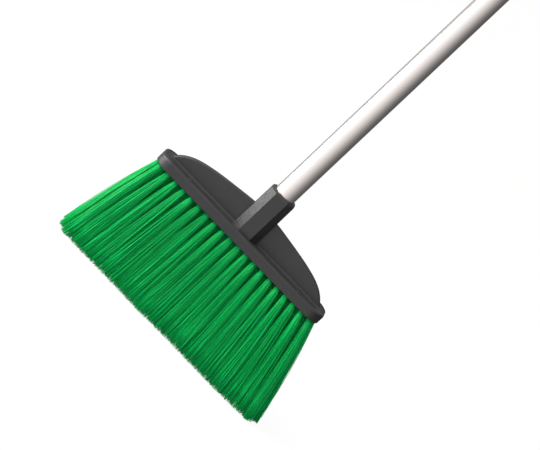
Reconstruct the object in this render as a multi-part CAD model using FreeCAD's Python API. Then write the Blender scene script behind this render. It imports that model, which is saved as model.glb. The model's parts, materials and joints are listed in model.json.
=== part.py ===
"""Upright sweeping broom: a tufted plastic head on a screw-in aluminium tube handle.

Millimetres. +Z runs up the handle, +X along the head, and the head's front faces -Y.
The origin is on the floor, under the middle of the bristles. Each sub-part is written to
parts/NODE.step as one or more closed solids.
"""

import FreeCAD, Part
import math
import os

V = FreeCAD.Vector
UP = V(0, 0, 1)

# ---- Driving dimensions --------------------------------------------------------------------------

# Bristle block: a slab with a raised rim round its top, which the fin housing's foot sits in.
BLOCK_LENGTH = 240.0
BLOCK_DEPTH = 48.0
BLOCK_HEIGHT = 11.5
BLOCK_CORNER_R = 16.0
BLOCK_TOP_EDGE_R = 2.4
BLOCK_BOTTOM_EDGE_R = 1.0
RIM_WIDTH = 3.4
RECESS_DEPTH = 2.4

# Tufts: five rows, staggered by half a pitch, which fan out from the block. The first, middle
# and last rows have 20 tufts, and the two rows between them 21.
COLUMNS = 21
ROWS = 5
TUFT_PITCH = 11.7
ROW_PITCH = 9.4
TUFT_HOLE_R = 3.0
TUFT_HOLE_DEPTH = 7.5
TUFT_GAP = 0.1
TUFT_TIP_R = 6.3
HOLE_TO_EDGE = 1.9
BRISTLE_LENGTH = 124.0
FAN_LENGTH_RATIO = 1.21
FAN_DEPTH_RATIO = 1.38
TIP_LEVEL_HALF = 75.0
TIP_RISE = 3.0
TRIM_SIZE = 80.0
DRILL_RUN = 3.0

# Flat wire anchors that hold each folded tuft down in its hole.
ANCHOR_WIDTH = 2.2
ANCHOR_THICKNESS = 0.45
ANCHOR_GAP = 0.05

# Fin housing: foot plate, arched hollow fin, and the socket for the handle, a square
# with its corners cut off. The crest's points are (half length, height above the block).
FOOT_THICKNESS = 2.0
FOOT_GAP = 0.3
FIN_CREST = [(0.0, 30.6), (40.0, 26.7), (76.0, 20.4), (98.0, 12.1), (110.5, 0.0)]
FIN_FOOT_THICKNESS = 9.0
FIN_TOP_THICKNESS = 6.0
FIN_WALL = 2.0
FIN_EDGE_R = 1.5
FIN_FLARE = 1.6
SOCKET_HEIGHT = 57.5
SOCKET_FOOT_WIDTH = 33.0
SOCKET_TOP_WIDTH = 32.2
SOCKET_FACET = 15.9
SOCKET_BEVEL = 2.2
SOCKET_FLOOR = 4.0
SOCKET_CORE_WALL = 3.0

# Screws that hold the housing's foot to the block.
SCREW_X = 81.0
SCREW_Y = 15.6
SCREW_SHANK_R = 1.5
SCREW_HEAD_R = 3.0
SCREW_HEAD_HEIGHT = 1.3
SCREW_LENGTH = 8.0
SCREW_SLOT = 0.9
SCREW_SLOT_LENGTH = 4.2
SCREW_GAP = 0.05

# Handle tube and the screw thread at its lower end.
TUBE_R = 12.5
TUBE_WALL = 0.9
TUBE_LENGTH = 1200.0
MOUTH_GAP = 0.25
MOUTH_DEPTH = 25.0
THREAD_PITCH = 5.08
THREAD_CREST_R = 9.5
THREAD_ROOT_R = 7.9
THREAD_GAP = 0.25
THREAD_LENGTH = 23.0
THREAD_ROOT_SHARE = 0.62
THREAD_CREST_SHARE = 0.38
THREAD_SINK = 0.3
SPARE_TURNS = 2.5
LEAD_START_R = 7.3
LEAD_END_R = 13.5
LEAD_HEIGHT = 4.4
NECK_LENGTH = 2.0
NECK_R = 7.6
WASHER_THICKNESS = 1.5
WASHER_INNER_R = 9.9
WASHER_OUTER_R = 12.3
FLANGE_THICKNESS = 2.0
PLUG_SHANK_LENGTH = 40.0
PLUG_BORE_R = 5.5
PLUG_GAP = 0.05
PIN_R = 1.6
PIN_HEIGHT = 9.0
PIN_RECESS = 0.1

# Hand grip and the hanger that swivels in the top of the tube.
GRIP_LENGTH = 125.0
GRIP_R = 15.5
GRIP_EDGE_R = 2.5
GRIP_GROOVES = 9
GRIP_GROOVE_PITCH = 10.0
GRIP_GROOVE_R = 1.5
GRIP_GROOVE_DEPTH = 0.8
BUSH_LENGTH = 26.0
BUSH_FLANGE = 2.0
STEM_R = 4.0
STEM_GAP = 0.08
CAP_R = 13.0
CAP_HEIGHT = 5.0
CAP_GAP = 0.3
CAP_EDGE_R = 1.5
EYE_R = 12.0
EYE_HOLE_R = 5.5
EYE_THICKNESS = 7.0
EYE_RISE = 15.0
EYE_SINK = 2.0
EYE_EDGE_R = 1.2
CLIP_THICKNESS = 1.0
CLIP_OUTER_R = 7.0
CLIP_GROOVE_R = 3.2
CLIP_OPENING = 4.4
STEM_END = 3.0

# Working allowances: how far a cutting shape runs past the face it cuts, and how far two
# pieces of one moulding overlap before they are joined.
OVERSHOOT = 1.0
JOIN = 0.5

# ---- Heights worked out from those ---------------------------------------------------------------

BLOCK_BOTTOM = BRISTLE_LENGTH
BLOCK_TOP = BLOCK_BOTTOM + BLOCK_HEIGHT
FOOT_BOTTOM = BLOCK_TOP - RECESS_DEPTH
FOOT_TOP = FOOT_BOTTOM + FOOT_THICKNESS
SOCKET_TOP = BLOCK_TOP + SOCKET_HEIGHT
SHOULDER = SOCKET_TOP - MOUTH_DEPTH
THREAD_FLOOR = BLOCK_TOP + SOCKET_FLOOR
FLANGE_BOTTOM = SHOULDER + WASHER_THICKNESS
TUBE_BOTTOM = FLANGE_BOTTOM + FLANGE_THICKNESS
TUBE_TOP = TUBE_BOTTOM + TUBE_LENGTH
BUSH_TOP = TUBE_TOP + BUSH_FLANGE
CAP_BOTTOM = BUSH_TOP + CAP_GAP
BUSH_BOTTOM = TUBE_TOP - BUSH_LENGTH

TUBE_INNER_R = TUBE_R - TUBE_WALL
MALE_TOP = SHOULDER - NECK_LENGTH
MALE_BOTTOM = MALE_TOP - THREAD_LENGTH


def mirrored(point):
    """The same point on the other side of the handle."""
    return V(-point.x, point.y, point.z)


def rounded_slab(length, depth, radius, bottom, height):
    """A flat slab centred on Z with its four upright edges rounded."""
    slab = Part.makeBox(length, depth, height, V(-length / 2, -depth / 2, bottom))
    upright = [e for e in slab.Edges if abs(e.tangentAt(e.FirstParameter).z) > 0.9]
    return slab.makeFillet(radius, upright)


def edges_at(shape, height):
    """The shape's edges that lie flat at one height."""
    box = [(e, e.BoundBox) for e in shape.Edges]
    return [e for e, b in box if abs(b.ZMin - height) < 1e-3 and abs(b.ZMax - height) < 1e-3]


def cylinder(radius, bottom, top):
    """An upright cylinder on the handle's axis."""
    return Part.makeCylinder(radius, top - bottom, V(0, 0, bottom), UP)


def ring(outer, inner, bottom, top):
    """An upright ring on the handle's axis."""
    return cylinder(outer, bottom, top).cut(cylinder(inner, bottom - OVERSHOOT, top + OVERSHOOT))


def cut_square(width, height):
    """A closed wire at one height: a square with its corners cut off, one side facing the front."""
    half = width / 2
    facet = SOCKET_FACET / 2
    quarter = [V(facet, -half, height), V(half, -facet, height)]
    turns = [FreeCAD.Rotation(UP, 90 * k) for k in range(4)]
    points = [turn.multVec(point) for turn in turns for point in quarter]
    return Part.makePolygon(points + points[:1])


# ---- Tufts ---------------------------------------------------------------------------------------


def tip_rise(x):
    """How far a tuft's end stands above the floor: the ends of the fan are a little shorter."""
    beyond = max(0.0, abs(x) - TIP_LEVEL_HALF)
    return TIP_RISE * (beyond / TIP_LEVEL_HALF) ** 2


def inside_corner(x, y):
    """The place moved straight in along Y or X if its hole would break the rounded corner."""
    reach = BLOCK_CORNER_R - TUFT_HOLE_R - HOLE_TO_EDGE
    past_x = max(0.0, abs(x) - (BLOCK_LENGTH / 2 - BLOCK_CORNER_R))
    past_y = max(0.0, abs(y) - (BLOCK_DEPTH / 2 - BLOCK_CORNER_R))
    if past_y > past_x:
        allowed = math.sqrt(reach**2 - past_x**2)
        return x, y - math.copysign(max(0.0, past_y - allowed), y)
    allowed = math.sqrt(reach**2 - past_y**2)
    return x - math.copysign(max(0.0, past_x - allowed), x), y


def tuft_line(column, row):
    """(root, tip, direction) of one tuft, from the block's underside down to its cut end."""
    half_step = 0.5 if row % 2 == 0 else 0.0
    x = (column - (COLUMNS - 1) / 2 + half_step) * TUFT_PITCH
    y = (row - (ROWS - 1) / 2) * ROW_PITCH
    tip_x, tip_y = x * FAN_LENGTH_RATIO, y * FAN_DEPTH_RATIO
    root = V(*inside_corner(x, y), BLOCK_BOTTOM)
    tip = V(tip_x, tip_y, tip_rise(tip_x))
    return root, tip, (tip - root).normalize()


def tufts_of(column):
    """The rows that have a tuft in this column: the last column has only those of the longer rows."""
    return [r for r in range(ROWS) if r % 2 == 1 or column < COLUMNS - 1]


def hole_bottom(root, direction):
    """The blind end of a tuft's hole, inside the block."""
    return root - direction * TUFT_HOLE_DEPTH


def anchor(root, direction, grow=0.0):
    """The flat wire across the blind end of a tuft's hole, standing on edge."""
    reach = TUFT_HOLE_R - TUFT_GAP + grow
    width = ANCHOR_WIDTH + 2 * grow
    thickness = ANCHOR_THICKNESS + 2 * grow
    corner = V(-thickness / 2, -reach, -ANCHOR_WIDTH - TUFT_GAP - grow)
    plate = Part.makeBox(thickness, 2 * reach, width, corner)
    turn = FreeCAD.Rotation(V(0, 0, -1), direction)
    plate.Placement = FreeCAD.Placement(hole_bottom(root, direction), turn)
    return plate


def tuft(column, row):
    """One tuft as a plain closed body: round in its hole, then widening to a level cut end."""
    root, tip, direction = tuft_line(column, row)
    top = hole_bottom(root, direction) + direction * TUFT_GAP
    shank_r = TUFT_HOLE_R - TUFT_GAP
    shank = Part.makeCylinder(shank_r, TUFT_HOLE_DEPTH, top, direction)
    foot = top + direction * (TUFT_HOLE_DEPTH - TUFT_GAP)
    reach = (tip - foot).Length + TUFT_TIP_R
    end_r = shank_r + (TUFT_TIP_R - shank_r) * reach / (reach - TUFT_TIP_R)
    skirt = Part.makeCone(shank_r, end_r, reach, foot, direction)
    half = TRIM_SIZE / 2
    cut_off = Part.makeBox(TRIM_SIZE, TRIM_SIZE, half, tip - V(half, half, half))
    body = shank.fuse(skirt).removeSplitter().cut(cut_off)
    return body.cut(anchor(root, direction, ANCHOR_GAP))


def tuft_column(column):
    """The tufts of one column, one behind the other, as separate solids."""
    return Part.makeCompound([tuft(column, r) for r in tufts_of(column)])


def tuft_anchors():
    """Every anchor wire, one to a hole."""
    lines = [tuft_line(c, r) for c in range(COLUMNS) for r in tufts_of(c)]
    return Part.makeCompound([anchor(root, direction) for root, _, direction in lines])


# ---- Head ----------------------------------------------------------------------------------------


def screw_places():
    """The four housing screws, two at each end of the foot plate."""
    return [(sx * SCREW_X, sy * SCREW_Y) for sx in (-1, 1) for sy in (-1, 1)]


def screw_shape(x, y, gap=0.0):
    """A countersunk screw's outline at one place: tapered head, then shank."""
    head_bottom = FOOT_TOP - SCREW_HEAD_HEIGHT
    shank_r = SCREW_SHANK_R + gap
    head = Part.makeCone(shank_r, SCREW_HEAD_R + gap, SCREW_HEAD_HEIGHT, V(x, y, head_bottom))
    shank_length = SCREW_LENGTH - SCREW_HEAD_HEIGHT
    shank = Part.makeCylinder(shank_r, shank_length, V(x, y, FOOT_TOP - SCREW_LENGTH))
    return head.fuse(shank)


def housing_screws():
    """Four self-tapping screws with a cross slot."""
    screws = []
    for x, y in screw_places():
        slots = []
        for length, width in ((SCREW_SLOT_LENGTH, SCREW_SLOT), (SCREW_SLOT, SCREW_SLOT_LENGTH)):
            corner = V(x - length / 2, y - width / 2, FOOT_TOP - SCREW_SLOT)
            slots.append(Part.makeBox(length, width, OVERSHOOT, corner))
        screws.append(screw_shape(x, y).cut(slots))
    return Part.makeCompound(screws)


def bristle_block():
    """The drilled block, with its raised rim, the blind tuft holes and the screws' pilot holes."""
    block = rounded_slab(BLOCK_LENGTH, BLOCK_DEPTH, BLOCK_CORNER_R, BLOCK_BOTTOM, BLOCK_HEIGHT)
    block = block.makeFillet(BLOCK_TOP_EDGE_R, edges_at(block, BLOCK_TOP))
    block = block.makeFillet(BLOCK_BOTTOM_EDGE_R, edges_at(block, BLOCK_BOTTOM))
    recess = rounded_slab(
        BLOCK_LENGTH - 2 * RIM_WIDTH,
        BLOCK_DEPTH - 2 * RIM_WIDTH,
        BLOCK_CORNER_R - RIM_WIDTH,
        FOOT_BOTTOM,
        RECESS_DEPTH + OVERSHOOT,
    )
    block = block.cut(recess)
    holes = []
    for column in range(COLUMNS):
        for row in tufts_of(column):
            root, _, direction = tuft_line(column, row)
            end = hole_bottom(root, direction)
            depth = TUFT_HOLE_DEPTH + DRILL_RUN
            holes.append(Part.makeCylinder(TUFT_HOLE_R, depth, end, direction))
    pilots = [screw_shape(x, y, SCREW_GAP) for x, y in screw_places()]
    return block.cut(holes).cut(pilots)


def fin_outline(inset):
    """The fin's closed front outline: one smooth arch with round shoulders, and a level foot."""
    bottom = FOOT_TOP - JOIN if inset == 0 else FOOT_BOTTOM - OVERSHOOT
    half = [V(max(0.0, x - inset), 0, BLOCK_TOP + z - inset) for x, z in FIN_CREST]
    arch = Part.BSplineCurve()
    arch.interpolate([mirrored(p) for p in half[:0:-1]] + half)
    toe = half[-1]
    low = V(toe.x, 0, bottom)
    sides = [
        Part.makeLine(toe, low),
        Part.makeLine(low, mirrored(low)),
        Part.makeLine(mirrored(low), mirrored(toe)),
    ]
    return Part.Wire([arch.toShape(), *sides])


def fin_body(inset):
    """The arched fin as a solid, thinner at its crest than at its foot."""
    blank = Part.Face(fin_outline(inset)).extrude(V(0, BLOCK_DEPTH, 0))
    blank.translate(V(0, -BLOCK_DEPTH / 2, 0))
    half_foot = FIN_FOOT_THICKNESS / 2 - inset
    half_top = FIN_TOP_THICKNESS / 2 - inset
    front = [
        (half_foot + FIN_FLARE, FOOT_BOTTOM - 2 * OVERSHOOT),
        (half_foot + FIN_FLARE, FOOT_TOP),
        (half_foot, FOOT_TOP + FIN_FLARE),
        (half_top, BLOCK_TOP + FIN_CREST[0][1] + OVERSHOOT),
    ]
    end = -BLOCK_LENGTH / 2
    section = [V(end, -y, z) for y, z in front] + [V(end, y, z) for y, z in reversed(front)]
    wedge = Part.Face(Part.makePolygon(section + section[:1])).extrude(V(BLOCK_LENGTH, 0, 0))
    return blank.common(wedge)


def helix_ridge(root_r, crest_r, bottom, turns, root_width, crest_width):
    """A right-hand trapezoid screw ridge round Z, its root sunk a little below root_r."""
    helix = Part.makeHelix(THREAD_PITCH, turns * THREAD_PITCH, root_r)
    inner, outer = root_r - THREAD_SINK, crest_r
    profile = [
        V(inner, 0, -root_width / 2),
        V(outer, 0, -crest_width / 2),
        V(outer, 0, crest_width / 2),
        V(inner, 0, root_width / 2),
    ]
    wire = Part.makePolygon(profile + profile[:1])
    ridge = Part.Wire(helix).makePipeShell([wire], True, True)
    ridge.translate(V(0, 0, bottom))
    return ridge


def socket_thread():
    """The female thread's hollow: its bore with a slightly larger copy of the plug's ridge."""
    turns = (SHOULDER - THREAD_FLOOR) / THREAD_PITCH + SPARE_TURNS
    start = THREAD_FLOOR - THREAD_PITCH / 2
    start += (MALE_BOTTOM - start) % THREAD_PITCH - THREAD_PITCH
    ridge = helix_ridge(
        THREAD_ROOT_R + THREAD_GAP,
        THREAD_CREST_R + THREAD_GAP,
        start,
        turns,
        THREAD_PITCH * THREAD_ROOT_SHARE + THREAD_GAP,
        THREAD_PITCH * THREAD_CREST_SHARE + THREAD_GAP,
    )
    slab = cylinder(THREAD_CREST_R + OVERSHOOT, THREAD_FLOOR, SHOULDER + JOIN)
    bore = cylinder(THREAD_ROOT_R + THREAD_GAP, THREAD_FLOOR, SHOULDER + JOIN)
    return bore.fuse(ridge.common(slab))


def socket_tower():
    """The socket's outside: four flats with wide cut corners, a slight taper, a bevelled mouth."""
    foot = cut_square(SOCKET_FOOT_WIDTH, FOOT_BOTTOM)
    tower = Part.makeLoft([foot, cut_square(SOCKET_TOP_WIDTH, SOCKET_TOP)], True)
    return tower.makeChamfer(SOCKET_BEVEL, edges_at(tower, SOCKET_TOP))


def fin_housing():
    """Foot plate, hollow fin and threaded socket in one moulding."""
    trim = 2 * (RIM_WIDTH + FOOT_GAP)
    corner_r = BLOCK_CORNER_R - trim / 2
    foot = rounded_slab(BLOCK_LENGTH - trim, BLOCK_DEPTH - trim, corner_r, FOOT_BOTTOM, FOOT_THICKNESS)
    fin = fin_body(0.0)
    long_edges = [e for e in fin.Edges if e.BoundBox.XLength > BLOCK_LENGTH / 2]
    crest = [e for e in long_edges if e.BoundBox.ZMax > FOOT_TOP + 2 * FIN_FLARE]
    fin = fin.makeFillet(FIN_EDGE_R, crest)
    plate = foot.fuse(fin).removeSplitter()
    core = cylinder(THREAD_CREST_R + SOCKET_CORE_WALL, FOOT_BOTTOM - 2 * OVERSHOOT, SOCKET_TOP)
    hollow = fin_body(FIN_WALL).cut(core)
    shell = plate.fuse(socket_tower()).removeSplitter().cut(hollow)
    mouth = cylinder(TUBE_R + MOUTH_GAP, SHOULDER, SOCKET_TOP + OVERSHOOT)
    pilots = [screw_shape(x, y, SCREW_GAP) for x, y in screw_places()]
    return shell.cut(mouth).cut(socket_thread()).cut(pilots)


# ---- Handle --------------------------------------------------------------------------------------


def cross_pin(gap=0.0):
    """The straight pin through the tube and its plug, ending just under the tube's surface."""
    half = math.sqrt(TUBE_R**2 - PIN_R**2) - PIN_RECESS + (2 * OVERSHOOT if gap else 0)
    start = V(-half, 0, TUBE_BOTTOM + PIN_HEIGHT)
    return Part.makeCylinder(PIN_R + gap, 2 * half, start, V(1, 0, 0))


def thread_washer():
    """Soft washer that the plug's flange squeezes onto the socket's inner shoulder."""
    return ring(WASHER_OUTER_R, WASHER_INNER_R, SHOULDER, FLANGE_BOTTOM)


def thread_plug():
    """Moulded plug in the tube's lower end: shank, flange, neck and a coarse male thread."""
    shank = cylinder(TUBE_INNER_R - PLUG_GAP, TUBE_BOTTOM - JOIN, TUBE_BOTTOM + PLUG_SHANK_LENGTH)
    flange = cylinder(TUBE_R, FLANGE_BOTTOM, TUBE_BOTTOM)
    neck = cylinder(NECK_R, MALE_BOTTOM, FLANGE_BOTTOM + JOIN)
    core = cylinder(THREAD_ROOT_R, MALE_BOTTOM, MALE_TOP)
    turns = THREAD_LENGTH / THREAD_PITCH
    ridge = helix_ridge(
        THREAD_ROOT_R,
        THREAD_CREST_R,
        MALE_BOTTOM - THREAD_PITCH,
        turns + 2,
        THREAD_PITCH * THREAD_ROOT_SHARE,
        THREAD_PITCH * THREAD_CREST_SHARE,
    )
    ridge = ridge.common(cylinder(THREAD_CREST_R + OVERSHOOT, MALE_BOTTOM, MALE_TOP))
    lead = Part.makeCone(LEAD_START_R, LEAD_END_R, LEAD_HEIGHT, V(0, 0, MALE_BOTTOM))
    blank = cylinder(THREAD_CREST_R + OVERSHOOT, MALE_BOTTOM, MALE_BOTTOM + LEAD_HEIGHT).cut(lead)
    screw = core.fuse(ridge).cut(blank)
    body = screw.fuse([neck, flange, shank]).removeSplitter()
    top = TUBE_BOTTOM + PLUG_SHANK_LENGTH
    bore = cylinder(PLUG_BORE_R, MALE_BOTTOM - OVERSHOOT, top + OVERSHOOT)
    return body.cut(bore).cut(cross_pin(PLUG_GAP))


def handle_tube():
    """Drawn aluminium tube with a hole for the cross pin."""
    return ring(TUBE_R, TUBE_INNER_R, TUBE_BOTTOM, TUBE_TOP).cut(cross_pin(PLUG_GAP))


def hand_grip():
    """Ribbed plastic sleeve over the top of the tube."""
    bottom = TUBE_TOP - GRIP_LENGTH
    sleeve = cylinder(GRIP_R, bottom, TUBE_TOP)
    sleeve = sleeve.makeFillet(GRIP_EDGE_R, edges_at(sleeve, bottom) + edges_at(sleeve, TUBE_TOP))
    sleeve = sleeve.cut(cylinder(TUBE_R + PLUG_GAP, bottom - OVERSHOOT, TUBE_TOP + OVERSHOOT))
    middle = (bottom + TUBE_TOP) / 2
    grooves = []
    for k in range(GRIP_GROOVES):
        height = middle + (k - (GRIP_GROOVES - 1) / 2) * GRIP_GROOVE_PITCH
        centre_r = GRIP_R - GRIP_GROOVE_DEPTH + GRIP_GROOVE_R
        grooves.append(Part.makeTorus(centre_r, GRIP_GROOVE_R, V(0, 0, height), UP))
    return sleeve.cut(grooves)


def top_bush():
    """Bush pressed into the tube's top, with the hanger's stem turning in it."""
    shank = cylinder(TUBE_INNER_R - PLUG_GAP, BUSH_BOTTOM, TUBE_TOP + JOIN)
    body = shank.fuse(cylinder(TUBE_R, TUBE_TOP, BUSH_TOP)).removeSplitter()
    return body.cut(cylinder(STEM_R + STEM_GAP, BUSH_BOTTOM - OVERSHOOT, BUSH_TOP + OVERSHOOT))


def hanger_eye():
    """Swivelling cap with a hanging eye above and a grooved stem below."""
    cap_top = CAP_BOTTOM + CAP_HEIGHT
    cap = cylinder(CAP_R, CAP_BOTTOM, cap_top)
    cap = cap.makeFillet(CAP_EDGE_R, edges_at(cap, cap_top))
    eye_height = cap_top + EYE_RISE
    half = EYE_THICKNESS / 2
    disc = Part.makeCylinder(EYE_R, EYE_THICKNESS, V(0, -half, eye_height), V(0, 1, 0))
    corner = V(-EYE_R, -half, cap_top - EYE_SINK)
    web = Part.makeBox(2 * EYE_R, EYE_THICKNESS, EYE_RISE + EYE_SINK, corner)
    eye = disc.fuse(web).removeSplitter()
    flat = [e for e in eye.Edges if e.BoundBox.YLength < 1e-3]
    eye = eye.makeFillet(EYE_EDGE_R, [e for e in flat if e.BoundBox.ZMax > cap_top])
    groove_top = BUSH_BOTTOM - CAP_GAP
    groove_bottom = groove_top - CLIP_THICKNESS
    stem = cylinder(STEM_R, groove_bottom - STEM_END, CAP_BOTTOM + JOIN)
    groove = ring(STEM_R + OVERSHOOT, CLIP_GROOVE_R, groove_bottom, groove_top)
    hole_start = V(0, -half - OVERSHOOT, eye_height)
    hole = Part.makeCylinder(EYE_HOLE_R, EYE_THICKNESS + 2 * OVERSHOOT, hole_start, V(0, 1, 0))
    return cap.fuse([eye, stem]).removeSplitter().cut(groove).cut(hole)


def hanger_clip():
    """Spring clip in the stem's groove, under the bush: an open ring."""
    top = BUSH_BOTTOM - CAP_GAP - STEM_GAP
    bottom = BUSH_BOTTOM - CAP_GAP - CLIP_THICKNESS + STEM_GAP
    clip = ring(CLIP_OUTER_R, CLIP_GROOVE_R + PLUG_GAP, bottom, top)
    height = top - bottom + 2 * OVERSHOOT
    corner = V(0, -CLIP_OPENING / 2, bottom - OVERSHOOT)
    return clip.cut(Part.makeBox(CLIP_OUTER_R + OVERSHOOT, CLIP_OPENING, height, corner))


# ---- Write the sub-parts -------------------------------------------------------------------------


def sub_parts():
    """Every node's name and shape."""
    yield "bristle_block", bristle_block()
    yield "fin_housing", fin_housing()
    yield "housing_screws", housing_screws()
    yield "tuft_anchors", tuft_anchors()
    for column in range(COLUMNS):
        yield f"tuft_column_{column + 1:02d}", tuft_column(column)
    yield "thread_washer", thread_washer()
    yield "thread_plug", thread_plug()
    yield "plug_pin", cross_pin()
    yield "handle_tube", handle_tube()
    yield "hand_grip", hand_grip()
    yield "top_bush", top_bush()
    yield "hanger_eye", hanger_eye()
    yield "hanger_clip", hanger_clip()


os.makedirs("parts", exist_ok=True)
for node, shape in sub_parts():
    solids = shape.Solids
    valid = all(s.isValid() and s.Volume > 0 for s in solids)
    volume = sum(s.Volume for s in solids) / 1000
    print(f"{node}: {len(solids)} solid(s), {volume:.2f} cm3, valid {valid}")
    shape.exportStep(os.path.join("parts", node + ".step"))
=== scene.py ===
# %% [markdown]
# # An upright sweeping broom
#
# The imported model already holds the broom's moulded head, its metal handle and the fittings at
# the handle's top, each as a solid of the right size. What it can't hold is the bristles, because
# thousands of loose strands aren't a solid, and the finishes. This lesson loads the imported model
# as a fixed frame, sets the camera and a small studio, makes one finish for each material, and
# then grows the bristles out of the block's real holes.

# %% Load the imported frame
import json
import math

import bpy
import numpy as np
from mathutils import Matrix, Vector


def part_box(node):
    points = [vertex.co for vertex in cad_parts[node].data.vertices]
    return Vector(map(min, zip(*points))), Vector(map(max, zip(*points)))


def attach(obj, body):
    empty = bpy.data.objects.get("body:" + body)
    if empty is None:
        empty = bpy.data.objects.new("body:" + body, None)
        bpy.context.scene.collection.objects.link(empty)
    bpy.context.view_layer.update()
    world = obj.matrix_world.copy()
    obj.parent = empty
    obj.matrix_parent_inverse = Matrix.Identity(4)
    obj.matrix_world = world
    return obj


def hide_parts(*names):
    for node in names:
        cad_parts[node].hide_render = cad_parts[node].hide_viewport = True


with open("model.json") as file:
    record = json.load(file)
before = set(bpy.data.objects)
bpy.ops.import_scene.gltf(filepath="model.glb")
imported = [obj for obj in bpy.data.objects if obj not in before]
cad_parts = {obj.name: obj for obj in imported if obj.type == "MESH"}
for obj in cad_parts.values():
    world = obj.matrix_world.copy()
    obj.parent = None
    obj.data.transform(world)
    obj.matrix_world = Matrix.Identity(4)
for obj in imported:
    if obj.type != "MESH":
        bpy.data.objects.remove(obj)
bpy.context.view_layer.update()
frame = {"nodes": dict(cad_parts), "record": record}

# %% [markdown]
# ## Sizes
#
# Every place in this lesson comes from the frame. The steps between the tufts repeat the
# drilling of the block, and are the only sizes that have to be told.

MM = 0.001

block_low, block_high = [Vector(corner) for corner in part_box("bristle_block")]
housing_high = Vector(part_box("fin_housing")[1])
tube_high = Vector(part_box("handle_tube")[1])
block_bottom = block_low.z
block_length = block_high.x - block_low.x
socket_mouth = Vector((0.0, 0.0, housing_high.z))

print(f"block {block_length / MM:.0f} mm long, its underside {block_bottom / MM:.0f} mm up")
print(f"socket mouth {socket_mouth.z / MM:.0f} mm up, tube top {tube_high.z / MM:.0f} mm up")

# %% [markdown]
# ## Camera
#
# The broom is seen from its front and a little from above, through a long lens, with the handle
# leaning to the upper right. A leaning broom could be turned to suit an upright camera, but the
# frame has to stay where it is, so the camera is rolled instead. Its three axes are worked out
# from the elevation, the small swing round the handle and the roll, and its distance and lens
# give the width that shows.

# %% Place the camera
ELEVATION = math.radians(12.8)
SWING = math.radians(3.0)
ROLL = math.radians(46.7)
DISTANCE = 3.0
VIEW_WIDTH = 0.562
AIM_RIGHT = -15.6 * MM
AIM_UP = -31.2 * MM

forward = Vector((
    math.sin(SWING) * math.cos(ELEVATION),
    math.cos(SWING) * math.cos(ELEVATION),
    -math.sin(ELEVATION),
))
level = Vector((math.cos(SWING), -math.sin(SWING), 0.0))
upright = level.cross(forward)
right = level * math.cos(ROLL) + upright * math.sin(ROLL)
up = upright * math.cos(ROLL) - level * math.sin(ROLL)
aim = socket_mouth + right * AIM_RIGHT + up * AIM_UP

camera_data = bpy.data.cameras.new("Camera")
camera_data.sensor_width = 36.0
camera_data.lens = camera_data.sensor_width * DISTANCE / VIEW_WIDTH
camera = bpy.data.objects.new("Camera", camera_data)
bpy.context.scene.collection.objects.link(camera)
turn = Matrix((right, up, -forward)).transposed().to_4x4()
camera.matrix_world = Matrix.Translation(aim - forward * DISTANCE) @ turn
bpy.context.scene.camera = camera
print(f"lens {camera_data.lens:.0f} mm, camera {camera.location.z:.2f} m above the floor")

# %% [markdown]
# ## Studio
#
# A product shot on white has two jobs that pull apart. The backdrop has to be white, and the
# light on the object has to come from one side, so that the metal tube shades from bright to
# dark. One white world would do the first and spoil the second. So the world shows white to the
# camera only, and lights the broom with a soft gradient that is brightest at its left front. The
# floor does the same: it looks almost white, and gives back only a little light. Seen from a
# little above, an upright tube mirrors the floor and not the room, so the floor is left out of
# reflections. That lets the gradient shade the tube.

# %% Helpers for node trees
def add_node(tree, kind, **settings):
    """A new node with its settings. A dict called inputs sets plain values on its inputs."""
    inputs = settings.pop("inputs", {})
    node = tree.nodes.new(kind)
    for name, value in settings.items():
        setattr(node, name, value)
    for name, value in inputs.items():
        node.inputs[name].default_value = value
    return node


def math_node(tree, operation, first, second=None, clamp=False):
    """A Math node whose two inputs are sockets or numbers. Its output socket is returned."""
    node = add_node(tree, "ShaderNodeMath", operation=operation, use_clamp=clamp)
    for socket, value in zip(node.inputs, (first, second)):
        if isinstance(value, bpy.types.NodeSocket):
            tree.links.new(value, socket)
        elif value is not None:
            socket.default_value = value
    return node.outputs[0]


def mix_shaders(tree, factor, first, second):
    """A Mix Shader between two shader outputs."""
    mix = add_node(tree, "ShaderNodeMixShader")
    tree.links.new(factor, mix.inputs[0])
    tree.links.new(first, mix.inputs[1])
    tree.links.new(second, mix.inputs[2])
    return mix.outputs[0]


# %% White to the camera, a gradient to the broom
LIGHT_AZIMUTH = math.radians(-48)
LIGHT_SIDE = Vector((math.sin(LIGHT_AZIMUTH), -math.cos(LIGHT_AZIMUTH), 0.0))
WORLD_DARK = 0.13
WORLD_BRIGHT = 1.50
WORLD_FALL = 1.6

world = bpy.data.worlds.new("Studio")
bpy.context.scene.world = world
world.use_nodes = True
tree = world.node_tree
tree.nodes.clear()
direction = add_node(tree, "ShaderNodeTexCoord").outputs["Generated"]
facing = add_node(tree, "ShaderNodeVectorMath", operation="DOT_PRODUCT")
facing.inputs[1].default_value = LIGHT_SIDE
tree.links.new(direction, facing.inputs[0])
half = math_node(tree, "MULTIPLY_ADD", facing.outputs["Value"], 0.5)
half.node.inputs[2].default_value = 0.5
shaped = math_node(tree, "POWER", math_node(tree, "MAXIMUM", half, 0.0), WORLD_FALL)
strength = math_node(tree, "MULTIPLY_ADD", shaped, WORLD_BRIGHT - WORLD_DARK)
strength.node.inputs[2].default_value = WORLD_DARK
soft = add_node(tree, "ShaderNodeBackground", inputs={"Color": (1.0, 0.985, 0.965, 1.0)})
tree.links.new(strength, soft.inputs["Strength"])
white = add_node(tree, "ShaderNodeBackground", inputs={"Color": (1.0, 1.0, 1.0, 1.0), "Strength": 1.0})
camera_ray = add_node(tree, "ShaderNodeLightPath").outputs["Is Camera Ray"]
output = add_node(tree, "ShaderNodeOutputWorld")
lit = mix_shaders(tree, camera_ray, soft.outputs[0], white.outputs[0])
tree.links.new(lit, output.inputs["Surface"])
bpy.context.scene.view_settings.view_transform = "Standard"
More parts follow.
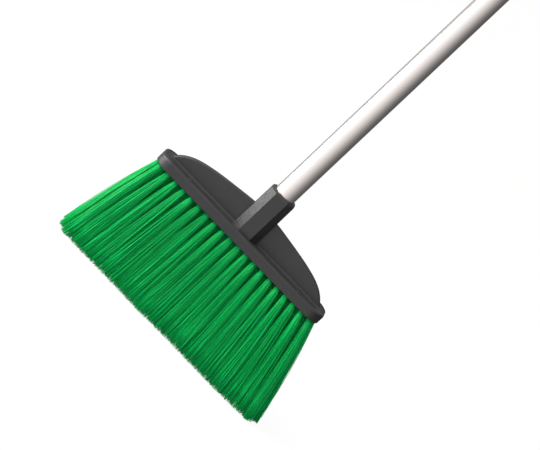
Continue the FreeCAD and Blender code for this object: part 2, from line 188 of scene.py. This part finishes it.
print("the world is white to the camera and graded to the broom")

# %% The pale floor
FLOOR_SIZE = 30.0
FLOOR_GLOW = 0.93
FLOOR_BOUNCE = (0.45, 0.45, 0.45, 1.0)
FLOOR_SHADE = (0.10, 0.10, 0.10, 1.0)

bpy.ops.mesh.primitive_plane_add(size=FLOOR_SIZE)
floor = bpy.context.object
floor.name = "floor"
floor_finish = bpy.data.materials.new("pale floor")
floor_finish.use_nodes = True
tree = floor_finish.node_tree
tree.nodes.clear()
bounce = add_node(tree, "ShaderNodeBsdfDiffuse", inputs={"Color": FLOOR_BOUNCE})
shade = add_node(tree, "ShaderNodeBsdfDiffuse", inputs={"Color": FLOOR_SHADE})
white = (1.0, 1.0, 1.0, 1.0)
glow = add_node(tree, "ShaderNodeEmission", inputs={"Color": white, "Strength": FLOOR_GLOW})
shown = add_node(tree, "ShaderNodeAddShader")
tree.links.new(shade.outputs[0], shown.inputs[0])
tree.links.new(glow.outputs[0], shown.inputs[1])
camera_ray = add_node(tree, "ShaderNodeLightPath").outputs["Is Camera Ray"]
output = add_node(tree, "ShaderNodeOutputMaterial")
lit = mix_shaders(tree, camera_ray, bounce.outputs[0], shown.outputs[0])
tree.links.new(lit, output.inputs["Surface"])
floor.data.materials.append(floor_finish)
floor.visible_glossy = False
print(f"floor {FLOOR_SIZE:.0f} m across")


# %% [markdown]
# ## Lights
#
# Three lights stand round to the left. A large soft panel hangs high, so that the flat top of the
# block doesn't mirror it into the side views. A low strip, level with the head, is what the
# socket's left facet mirrors: it makes that facet bright near the mouth, while the front stays
# dim and the right facet nearly black. A small key panel gives the socket's shadow on the fin an
# edge. None of them shows itself to the camera.

# %% Three lights at the left
WARM_LIGHT = (1.0, 0.985, 0.96)


def light_panel(name, azimuth, height, distance, width, tall, power):
    """An area light at an azimuth from the front, negative to the left, that faces the head."""
    data = bpy.data.lights.new(name, "AREA")
    data.shape = "RECTANGLE"
    data.size = width
    data.size_y = tall
    data.energy = power
    data.color = WARM_LIGHT
    panel = bpy.data.objects.new(name, data)
    bpy.context.scene.collection.objects.link(panel)
    angle = math.radians(azimuth)
    place = Vector((math.sin(angle) * distance, -math.cos(angle) * distance, height))
    panel.location = place
    towards = Vector((0.0, 0.0, block_high.z)) - place
    panel.rotation_euler = towards.to_track_quat("-Z", "Y").to_euler()
    panel.visible_camera = False
    print(f"{name}: {power:.1f} W, {width:.2f} by {tall:.2f} m, {azimuth:.0f} degrees round")


light_panel("soft panel", -62, height=1.5, distance=1.6, width=1.3, tall=1.3, power=28.0)
light_panel("low strip", -85, height=0.10, distance=0.9, width=0.66, tall=0.24, power=5.0)
light_panel("key panel", -68, height=0.45, distance=1.8, width=0.35, tall=0.35, power=10.0)


# %% [markdown]
# ## Effects that several finishes share
#
# Three things show on nearly every piece of this broom: the fine pebbled grain that a mould
# leaves, the pale rubbed line along edges that hands and walls touch, and a little dust on what
# faces up. Each could be rebuilt in every material, but then each would have to be mended in
# every material too. A node group is built once, with its numbers as inputs, and is placed
# wherever it is wanted. The shader itself stays in the material.

# %% Helpers for node groups
def new_group(name, inputs, outputs):
    """An empty shader group. Inputs are numbers, as name and default; outputs, name and type."""
    group = bpy.data.node_groups.new(name, "ShaderNodeTree")
    for label, default in inputs:
        socket = group.interface.new_socket(label, in_out="INPUT", socket_type="NodeSocketFloat")
        socket.default_value = default
    for label, kind in outputs:
        group.interface.new_socket(label, in_out="OUTPUT", socket_type=kind)
    entry = add_node(group, "NodeGroupInput")
    exit_node = add_node(group, "NodeGroupOutput")
    return group, entry, exit_node


def place_group(tree, group, **values):
    """The group as a node of a material, with values for its inputs. Underscores are spaces."""
    node = add_node(tree, "ShaderNodeGroup", node_tree=group)
    for label, value in values.items():
        node.inputs[label.replace("_", " ")].default_value = value
    return node


# %% Moulded grain
MOTTLE_SHARE = 0.16


def build_grain():
    """Fine pebbles for bump, and a slow mottle for colour and gloss, both fixed to the piece."""
    number = "NodeSocketFloat"
    group, entry, out = new_group(
        "Moulded Grain", [("Fineness", 900.0)], [("Height", number), ("Mottle", number)]
    )
    place = add_node(group, "ShaderNodeTexCoord").outputs["Object"]
    pebbles = add_node(group, "ShaderNodeTexNoise", inputs={"Detail": 3.0, "Roughness": 0.6})
    mottle = add_node(group, "ShaderNodeTexNoise", inputs={"Detail": 4.0, "Roughness": 0.65})
    group.links.new(place, pebbles.inputs["Vector"])
    group.links.new(place, mottle.inputs["Vector"])
    group.links.new(entry.outputs["Fineness"], pebbles.inputs["Scale"])
    slow = math_node(group, "MULTIPLY", entry.outputs["Fineness"], MOTTLE_SHARE)
    group.links.new(slow, mottle.inputs["Scale"])
    group.links.new(pebbles.outputs[0], out.inputs["Height"])
    group.links.new(mottle.outputs[0], out.inputs["Mottle"])
    return group


grain_group = build_grain()
print(f"{grain_group.name}: {len(grain_group.nodes)} nodes")


# %% Rubbed edges
EDGE_GAIN = 5.0


def build_edge_wear():
    """A mask of sharp edges, where a rounded normal leaves the true one, broken up by noise."""
    group, entry, out = new_group(
        "Rubbed Edges", [("Width", 0.0012), ("Breakup", 160.0)], [("Mask", "NodeSocketFloat")]
    )
    rounded = add_node(group, "ShaderNodeBevel", samples=4)
    group.links.new(entry.outputs["Width"], rounded.inputs["Radius"])
    true_normal = add_node(group, "ShaderNodeNewGeometry").outputs["Normal"]
    agree = add_node(group, "ShaderNodeVectorMath", operation="DOT_PRODUCT")
    group.links.new(rounded.outputs[0], agree.inputs[0])
    group.links.new(true_normal, agree.inputs[1])
    differ = math_node(group, "SUBTRACT", 1.0, agree.outputs["Value"])
    sharp = math_node(group, "MULTIPLY", differ, EDGE_GAIN, clamp=True)
    place = add_node(group, "ShaderNodeTexCoord").outputs["Object"]
    noise = add_node(group, "ShaderNodeTexNoise", inputs={"Detail": 5.0, "Roughness": 0.7})
    group.links.new(place, noise.inputs["Vector"])
    group.links.new(entry.outputs["Breakup"], noise.inputs["Scale"])
    patches = add_node(group, "ShaderNodeMapRange", inputs={"From Min": 0.35, "From Max": 0.62})
    group.links.new(noise.outputs[0], patches.inputs["Value"])
    group.links.new(math_node(group, "MULTIPLY", sharp, patches.outputs[0]), out.inputs["Mask"])
    return group


wear_group = build_edge_wear()
print(f"{wear_group.name}: {len(wear_group.nodes)} nodes")


# %% Settled dust
def build_dust():
    """A mask of the faces that look up, thicker in patches."""
    group, entry, out = new_group("Settled Dust", [("Patches", 45.0)], [("Mask", "NodeSocketFloat")])
    normal = add_node(group, "ShaderNodeNewGeometry").outputs["Normal"]
    split = add_node(group, "ShaderNodeSeparateXYZ")
    group.links.new(normal, split.inputs[0])
    upward = add_node(group, "ShaderNodeMapRange", inputs={"From Min": 0.45, "From Max": 1.0})
    group.links.new(split.outputs["Z"], upward.inputs["Value"])
    place = add_node(group, "ShaderNodeTexCoord").outputs["Object"]
    noise = add_node(group, "ShaderNodeTexNoise", inputs={"Detail": 6.0, "Roughness": 0.7})
    group.links.new(place, noise.inputs["Vector"])
    group.links.new(entry.outputs["Patches"], noise.inputs["Scale"])
    mask = math_node(group, "MULTIPLY", upward.outputs[0], noise.outputs[0])
    group.links.new(mask, out.inputs["Mask"])
    return group


dust_group = build_dust()
print(f"{dust_group.name}: {len(dust_group.nodes)} nodes")


# %% [markdown]
# ## Finishes
#
# A finish starts as one Principled shader. What is the same all over is set on the shader's own
# sockets, and only what changes over the surface is linked: a base colour that the mottle, the
# rubbed edges and the dust each shift a little, a roughness that follows the mottle, and a bump.
# `tint` mixes one colour over another by a mask, and is all that the moulded finishes need.

# %% Helpers for finishes
def new_finish(name, roughness, metallic=0.0, **sockets):
    """A material with its Principled shader. More sockets are set by name, with underscores."""
    material = bpy.data.materials.new(name)
    material.use_nodes = True
    shader = material.node_tree.nodes["Principled BSDF"]
    shader.inputs["Roughness"].default_value = roughness
    shader.inputs["Metallic"].default_value = metallic
    for label, value in sockets.items():
        shader.inputs[label.replace("_", " ")].default_value = value
    return material, material.node_tree, shader


def tint(tree, mask, amount, below, above):
    """One colour, or colour socket, with another laid over it by mask times amount."""
    mix = add_node(tree, "ShaderNodeMix", data_type="RGBA")
    tree.links.new(math_node(tree, "MULTIPLY", mask, amount, clamp=True), mix.inputs[0])
    colours = [s for s in mix.inputs if s.type == "RGBA"]
    for socket, colour in zip(colours, (below, above)):
        if isinstance(colour, bpy.types.NodeSocket):
            tree.links.new(colour, socket)
        else:
            socket.default_value = (*colour, 1.0)
    return next(s for s in mix.outputs if s.type == "RGBA")


def between(tree, mask, low, high):
    """A number that goes from low to high as the mask goes from 0 to 1."""
    span = math_node(tree, "MULTIPLY_ADD", mask, high - low)
    span.node.inputs[2].default_value = low
    return span


def bump(tree, shader, height, strength, depth):
    """Links a height to the shader's normal. depth is the height of the relief in metres."""
    node = add_node(tree, "ShaderNodeBump", inputs={"Strength": strength, "Distance": depth})
    tree.links.new(height, node.inputs["Height"])
    tree.links.new(node.outputs[0], shader.inputs["Normal"])


# %% Moulded plastics and rubbers
DUST_COLOUR = (0.16, 0.155, 0.145)
GLOSS_SWING = 0.06
GRAIN_BUMP = 0.5
GRAIN_DEPTH = 0.16 * MM


def moulded_finish(name, dark, light, rubbed, roughness, fineness, wear, dust):
    """A moulded surface: mottled between two close colours, with pale edges and some dust."""
    material, tree, shader = new_finish(name, roughness)
    grain = place_group(tree, grain_group, Fineness=fineness)
    edges = place_group(tree, wear_group)
    settled = place_group(tree, dust_group)
    colour = tint(tree, grain.outputs["Mottle"], 1.0, dark, light)
    colour = tint(tree, edges.outputs["Mask"], wear, colour, rubbed)
    colour = tint(tree, settled.outputs["Mask"], dust, colour, DUST_COLOUR)
    tree.links.new(colour, shader.inputs["Base Color"])
    low, high = roughness - GLOSS_SWING, roughness + GLOSS_SWING
    gloss = between(tree, grain.outputs["Mottle"], low, high)
    tree.links.new(gloss, shader.inputs["Roughness"])
    bump(tree, shader, grain.outputs["Height"], GRAIN_BUMP, GRAIN_DEPTH)
    return material


charcoal_plastic = moulded_finish(
    "charcoal plastic",
    dark=(0.0125, 0.013, 0.015),
    light=(0.021, 0.0215, 0.024),
    rubbed=(0.09, 0.09, 0.095),
    roughness=0.40,
    fineness=1100.0,
    wear=0.6,
    dust=0.25,
)
black_plastic = moulded_finish(
    "black plastic",
    dark=(0.022, 0.022, 0.024),
    light=(0.034, 0.034, 0.036),
    rubbed=(0.12, 0.12, 0.12),
    roughness=0.36,
    fineness=1300.0,
    wear=0.5,
    dust=0.3,
)
grip_rubber = moulded_finish(
    "grip rubber",
    dark=(0.026, 0.026, 0.028),
    light=(0.040, 0.040, 0.042),
    rubbed=(0.09, 0.09, 0.09),
    roughness=0.72,
    fineness=700.0,
    wear=0.35,
    dust=0.35,
)
washer_rubber = moulded_finish(
    "washer rubber",
    dark=(0.018, 0.018, 0.018),
    light=(0.028, 0.028, 0.028),
    rubbed=(0.05, 0.05, 0.05),
    roughness=0.8,
    fineness=1500.0,
    wear=0.2,
    dust=0.1,
)
print("moulded finishes made")


# %% [markdown]
# ## Metal
#
# The handle is drawn aluminium tube with a satin skin. Drawing leaves very fine lines along the
# tube, which stretch a highlight across it, and years of hands leave faint cloudy patches. A
# noise squeezed across the tube and stretched along it gives the lines, and an ordinary noise the
# clouds. The same function with other numbers does for the steel screws, pin, clip and staples.

# %% Drawn metals
LINE_FINENESS = 1400.0
LINE_BUMP = 0.12
LINE_DEPTH = 0.04 * MM
CLOUD_FINENESS = 22.0
CLOUD_TINT = 0.8


def metal_finish(name, colour, cloud, roughness, spread, along):
    """A metal with fine lines along the handle, along times finer across than lengthways."""
    material, tree, shader = new_finish(name, roughness, metallic=1.0)
    place = add_node(tree, "ShaderNodeTexCoord").outputs["Object"]
    stretch = add_node(tree, "ShaderNodeMapping", inputs={"Scale": (1.0, 1.0, 1.0 / along)})
    tree.links.new(place, stretch.inputs["Vector"])
    lines = add_node(tree, "ShaderNodeTexNoise", inputs={"Scale": LINE_FINENESS, "Detail": 2.0})
    cloudy = {"Scale": CLOUD_FINENESS, "Detail": 5.0, "Roughness": 0.6}
    clouds = add_node(tree, "ShaderNodeTexNoise", inputs=cloudy)
    tree.links.new(stretch.outputs[0], lines.inputs["Vector"])
    tree.links.new(place, clouds.inputs["Vector"])
    skin = tint(tree, clouds.outputs[0], CLOUD_TINT, colour, cloud)
    tree.links.new(skin, shader.inputs["Base Color"])
    both = math_node(tree, "MULTIPLY", lines.outputs[0], clouds.outputs[0])
    gloss = between(tree, both, roughness - spread, roughness + spread)
    tree.links.new(gloss, shader.inputs["Roughness"])
    bump(tree, shader, lines.outputs[0], LINE_BUMP, LINE_DEPTH)
    return material


aluminium = metal_finish(
    "satin aluminium",
    colour=(0.72, 0.685, 0.675),
    cloud=(0.66, 0.625, 0.615),
    roughness=0.34,
    spread=0.05,
    along=60.0,
)
screw_steel = metal_finish(
    "zinc steel",
    colour=(0.56, 0.56, 0.57),
    cloud=(0.42, 0.42, 0.44),
    roughness=0.34,
    spread=0.1,
    along=3.0,
)
staple_wire = metal_finish(
    "staple wire",
    colour=(0.50, 0.50, 0.51),
    cloud=(0.36, 0.36, 0.37),
    roughness=0.30,
    spread=0.1,
    along=3.0,
)
print("metal finishes made")

# %% [markdown]
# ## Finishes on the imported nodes
#
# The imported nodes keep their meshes. Only the material in their slots changes, and the record
# says which slot each node takes, so one short table is enough.

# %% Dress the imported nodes
FINISH_OF_SLOT = {
    "charcoal_plastic": charcoal_plastic,
    "black_plastic": black_plastic,
    "grip_rubber": grip_rubber,
    "soft_rubber": washer_rubber,
    "satin_aluminium": aluminium,
    "screw_steel": screw_steel,
    "anchor_wire": staple_wire,
}

slot_of_node = {part["node"]: part["material_slot"] for part in frame["record"]["subparts"]}
dressed = 0
for node, holder in frame["nodes"].items():
    finish = FINISH_OF_SLOT.get(slot_of_node[node])
    if finish is None:
        continue
    for slot in holder.material_slots:
        slot.material = finish
    dressed += 1
print(f"{dressed} packed nodes dressed")


# %% [markdown]
# ## Bristle finish
#
# The strands are drawn green plastic, smooth enough to shine along their length. No two take the
# light alike, so each strand carries its own tone, and the tone and the distance down the strand
# are stored as the piece's UV map: U is the tone and V runs from the root to the tip. Strands are
# paler at the tips, where sweeping has frayed them.

# %% Green filament
DARK_GREEN = (0.0002, 0.31, 0.053)
LIGHT_GREEN = (0.0014, 0.60, 0.138)
FRAYED_GREEN = (0.003, 0.66, 0.15)
FRAY_POWER = 5.0
FRAY_TINT = 0.5


def filament_finish():
    """Green strands: dark to light by their tone, and a little paler and rougher at the tips."""
    material, tree, shader = new_finish("green filament", 0.4, Specular_IOR_Level=0.18)
    split = add_node(tree, "ShaderNodeSeparateXYZ")
    tree.links.new(add_node(tree, "ShaderNodeUVMap", uv_map="strand").outputs[0], split.inputs[0])
    tone, down = split.outputs["X"], split.outputs["Y"]
    colour = tint(tree, tone, 1.0, DARK_GREEN, LIGHT_GREEN)
    frayed = math_node(tree, "POWER", down, FRAY_POWER)
    colour = tint(tree, frayed, FRAY_TINT, colour, FRAYED_GREEN)
    tree.links.new(colour, shader.inputs["Base Color"])
    tree.links.new(between(tree, frayed, 0.36, 0.55), shader.inputs["Roughness"])
    return material


green_filament = filament_finish()
print("filament finish made")

# %% [markdown]
# ## One strand
#
# A strand could be a curve with a bevel, or hair, but the finished piece has to be a plain mesh.
# So one strand is modelled as a thin square rod: four sides are enough for something 0.6 mm
# thick. Cuts across its length let it bend, and its cut end is a little narrower. It hangs down
# from the origin and is one unit long, so that a copy can be stretched to any length.

# %% Model one strand
STRAND_R = 0.31 * MM
STRAND_CUTS = 5
CUT_END_SCALE = 0.6


def select_only(mesh_object, kind, test):
    """In edit mode, selects only the edges or faces whose corner points pass a test."""
    bpy.ops.mesh.select_all(action="DESELECT")
    bpy.ops.object.mode_set(mode="OBJECT")
    mesh = mesh_object.data
    for element in getattr(mesh, kind):
        corners = [mesh.vertices[i].co for i in element.vertices]
        element.select = test(corners)
    bpy.ops.object.mode_set(mode="EDIT")


def model_strand():
    """The strand's corner points and its four-cornered faces, as arrays."""
    bpy.ops.object.select_all(action="DESELECT")
    middle = (0.0, 0.0, -0.5)
    bpy.ops.mesh.primitive_cylinder_add(vertices=4, radius=STRAND_R, depth=1.0, location=middle)
    rod = bpy.context.object
    bpy.ops.object.transform_apply(location=True, rotation=True, scale=True)
    bpy.ops.object.mode_set(mode="EDIT")
    bpy.ops.mesh.select_mode(type="EDGE")
    select_only(rod, "edges", lambda c: abs(c[0].z - c[1].z) > 0.5)
    bpy.ops.mesh.subdivide(number_cuts=STRAND_CUTS)
    bpy.ops.mesh.select_mode(type="FACE")
    select_only(rod, "polygons", lambda c: max(p.z for p in c) < -0.999)
    bpy.ops.transform.resize(value=(CUT_END_SCALE, CUT_END_SCALE, 1.0))
    bpy.ops.object.mode_set(mode="OBJECT")
    points = np.array([v.co[:] for v in rod.data.vertices])
    faces = np.array([p.vertices[:] for p in rod.data.polygons])
    bpy.data.objects.remove(rod)
    return points, faces


strand_points, strand_faces = model_strand()
print(f"one strand: {len(strand_points)} points, {len(strand_faces)} faces")

# %% [markdown]
# ## Where the tufts stand
#
# The block is drilled in five rows, staggered by half a step. The rows nearest the block's long
# edges would run into its rounded corners, so their end holes are moved in. Below the block the
# tufts fan out, so a tuft's tip lies further from the middle than its root. A worn broom isn't
# even: this one has been pushed over to one side, and its right end flares more than its left.

# %% Lay out the tufts
COLUMNS = 21
ROWS = 5
TUFT_PITCH = 11.7 * MM
ROW_PITCH = 9.4 * MM
CORNER_REACH = 11.1 * MM
CORNER_R = 16.0 * MM
FAN_LENGTH_RATIO = 1.21
FAN_DEPTH_RATIO = 1.30
LEAN_RIGHT = 1.045
LEAN_LEFT = 0.966


def inside_corner(x, y):
    """The hole's place, moved in from the block's rounded corner where it has to be."""
    past_x = max(0.0, abs(x) - (block_high.x - CORNER_R))
    past_y = max(0.0, abs(y) - (block_high.y - CORNER_R))
    if past_y > past_x:
        allowed = math.sqrt(CORNER_REACH**2 - past_x**2)
        return x, y - math.copysign(max(0.0, past_y - allowed), y)
    allowed = math.sqrt(CORNER_REACH**2 - past_y**2)
    return x - math.copysign(max(0.0, past_x - allowed), x), y


def tufts_of(column):
    """Root and tip, across and deep, of each tuft in a column."""
    tufts = []
    for row in range(ROWS):
        long_row = row % 2 == 1
        if column == COLUMNS - 1 and not long_row:
            continue
        x = (column - (COLUMNS - 1) / 2 + (0.0 if long_row else 0.5)) * TUFT_PITCH
        y = (row - (ROWS - 1) / 2) * ROW_PITCH
        lean = LEAN_RIGHT if x > 0 else LEAN_LEFT
        tip = (x * FAN_LENGTH_RATIO * lean, y * FAN_DEPTH_RATIO)
        tufts.append((inside_corner(x, y), tip))
    return tufts


print(f"{sum(len(tufts_of(c)) for c in range(COLUMNS))} tufts in {COLUMNS} columns")

# %% [markdown]
# ## Growing the bristles
#
# A tuft is a bundle that is held tight in its hole and opens out below it. Its strands don't
# spread evenly: they stick together in small clumps, and it is the clumps that show as streaks
# from a distance. So each strand's tip is its place in the hole, spread outwards, plus a shift
# that its whole clump shares, plus a small one of its own. The fan leaves the block at a wider
# angle than it ends with, as bent strands do. The outermost tufts open out less, which keeps the
# fan's sides smooth. The tips are cut level, and rise a little at the fan's ends, more at the
# left than at the right. All the random numbers come from one seeded generator for each column,
# so the bristles are the same every time.

# %% Shape the strands of one tuft
STRANDS = 165
CLUMPS = 13
BUNDLE_R = 2.72 * MM
BUNDLE_SPREAD = np.array([2.5, 1.6])
EDGE_SPREAD = np.array([1.3, 1.3])
EDGE_START = 100.0 * MM
SPOKE_SCATTER = 0.14
CLUMP_SHIFT = 0.75 * MM
STRAND_SHIFT = 0.65 * MM
STRAND_BOW = 0.9 * MM
FURTHEST = 1.8
FAN_BOW = 0.17
ROOT_DEPTH = 4.0 * MM
TRIM_START = 75.0 * MM
TRIM_RISE = 1.2 * MM
CORNER_START = 138.0 * MM
CORNER_SPAN = 12.0 * MM
CORNER_RISE_LEFT = 2.5 * MM
CORNER_RISE_RIGHT = 0.8 * MM
UNEVEN_CUT = 0.45 * MM
CORNER_LIMIT = 1.6
WAVE_HEIGHT = 0.3 * MM
WAVE_LENGTH = 17 * MM
OPEN_POWER = 0.8
SHIFT_POWER = 1.3
MIDDLE_TONE = 0.5
CLUMP_TONE = 0.11
STRAND_TONE = 0.17


def cut_height(x):
    """How high above the floor the bristles are cut at this distance from the middle."""
    side = np.abs(x)
    trim = TRIM_RISE * (np.clip(side - TRIM_START, 0, None) / TRIM_START) ** 2
    corner_rise = np.where(x > 0, CORNER_RISE_RIGHT, CORNER_RISE_LEFT)
    corner = corner_rise * np.clip((side - CORNER_START) / CORNER_SPAN, 0, CORNER_LIMIT) ** 2
    wave = WAVE_HEIGHT * (1 + np.sin(x / WAVE_LENGTH))
    return trim + corner + wave


def scatter(draw, size, shape):
    """Random offsets of a typical size, none past FURTHEST times it, so that no strand strays."""
    return size * np.clip(draw.normal(0, 1, shape), -FURTHEST, FURTHEST)


def tuft_points(root, tip, draw):
    """Points and UVs of one tuft's strands."""
    clump = np.arange(STRANDS) % CLUMPS
    angle = 2 * math.pi * (clump / CLUMPS + draw.normal(0, SPOKE_SCATTER, STRANDS))
    reach = BUNDLE_R * np.sqrt(draw.uniform(0, 1, STRANDS))
    inside = np.stack([reach * np.cos(angle), reach * np.sin(angle)], axis=1)
    shift = scatter(draw, CLUMP_SHIFT, (CLUMPS, 2))[clump]
    shift = shift + scatter(draw, STRAND_SHIFT, (STRANDS, 2))
    bow = scatter(draw, STRAND_BOW, (STRANDS, 2))
    tone = MIDDLE_TONE + draw.normal(0, CLUMP_TONE, CLUMPS)[clump]
    tone = tone + draw.normal(0, STRAND_TONE, STRANDS)
    spin = draw.uniform(0, 2 * math.pi, STRANDS)
    travel = np.array(tip) - np.array(root)
    spread = EDGE_SPREAD if abs(root[0]) > EDGE_START else BUNDLE_SPREAD
    tip_x = tip[0] + inside[:, 0] * (1 + spread[0]) + shift[:, 0]
    bottom = cut_height(tip_x) + np.abs(draw.normal(0, UNEVEN_CUT, STRANDS))
    down = -strand_points[:, 2]
    top = block_bottom + ROOT_DEPTH
    height = top + (bottom - top)[:, None] * down
    share = (block_bottom - height) / (block_bottom - bottom)[:, None]
    open_out = np.clip(share, 0, 1) ** OPEN_POWER
    fan = share + FAN_BOW * share * (1 - share)
    belly = np.sin(math.pi * np.clip(share, 0, 1))
    rod_x, rod_y = strand_points[:, 0], strand_points[:, 1]
    turned = np.stack([
        np.cos(spin)[:, None] * rod_x - np.sin(spin)[:, None] * rod_y,
        np.sin(spin)[:, None] * rod_x + np.cos(spin)[:, None] * rod_y,
    ], axis=2)
    middle = (
        np.array(root)
        + fan[:, :, None] * travel
        + inside[:, None, :] * (1 + spread * open_out[:, :, None])
        + shift[:, None, :] * np.clip(share, 0, 1)[:, :, None] ** SHIFT_POWER
        + bow[:, None, :] * belly[:, :, None]
    )
    points = np.concatenate([middle + turned, height[:, :, None]], axis=2).reshape(-1, 3)
    uv = np.stack([np.repeat(np.clip(tone, 0, 1), len(down)), np.tile(down, STRANDS)], axis=1)
    return points, uv


# %% Build one piece for each column of tufts
FIRST_SEED = 700


def bristle_column(column):
    """All the strands of one column as one mesh, in place of the column's plain solids."""
    draw = np.random.default_rng(FIRST_SEED + column)
    parts = [tuft_points(root, tip, draw) for root, tip in tufts_of(column)]
    points = np.concatenate([p for p, _ in parts])
    uv = np.concatenate([u for _, u in parts])
    copies = len(points) // len(strand_points)
    offsets = np.arange(copies)[:, None, None] * len(strand_points)
    faces = (strand_faces[None, :, :] + offsets).reshape(-1, strand_faces.shape[1])
    mesh = bpy.data.meshes.new(f"bristles_{column + 1:02d}")
    mesh.from_pydata(points.tolist(), [], faces.tolist())
    layer = mesh.uv_layers.new(name="strand")
    layer.data.foreach_set("uv", uv[faces.ravel()].ravel())
    mesh.materials.append(green_filament)
    piece = bpy.data.objects.new(mesh.name, mesh)
    bpy.context.scene.collection.objects.link(piece)
    mesh.shade_smooth()
    node = f"tuft_column_{column + 1:02d}"
    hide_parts(node)
    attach(piece, "head")
    return len(faces)


faces_made = [bristle_column(column) for column in range(COLUMNS)]
print(f"{sum(faces_made)} faces in {len(faces_made)} bristle pieces, the largest {max(faces_made)}")
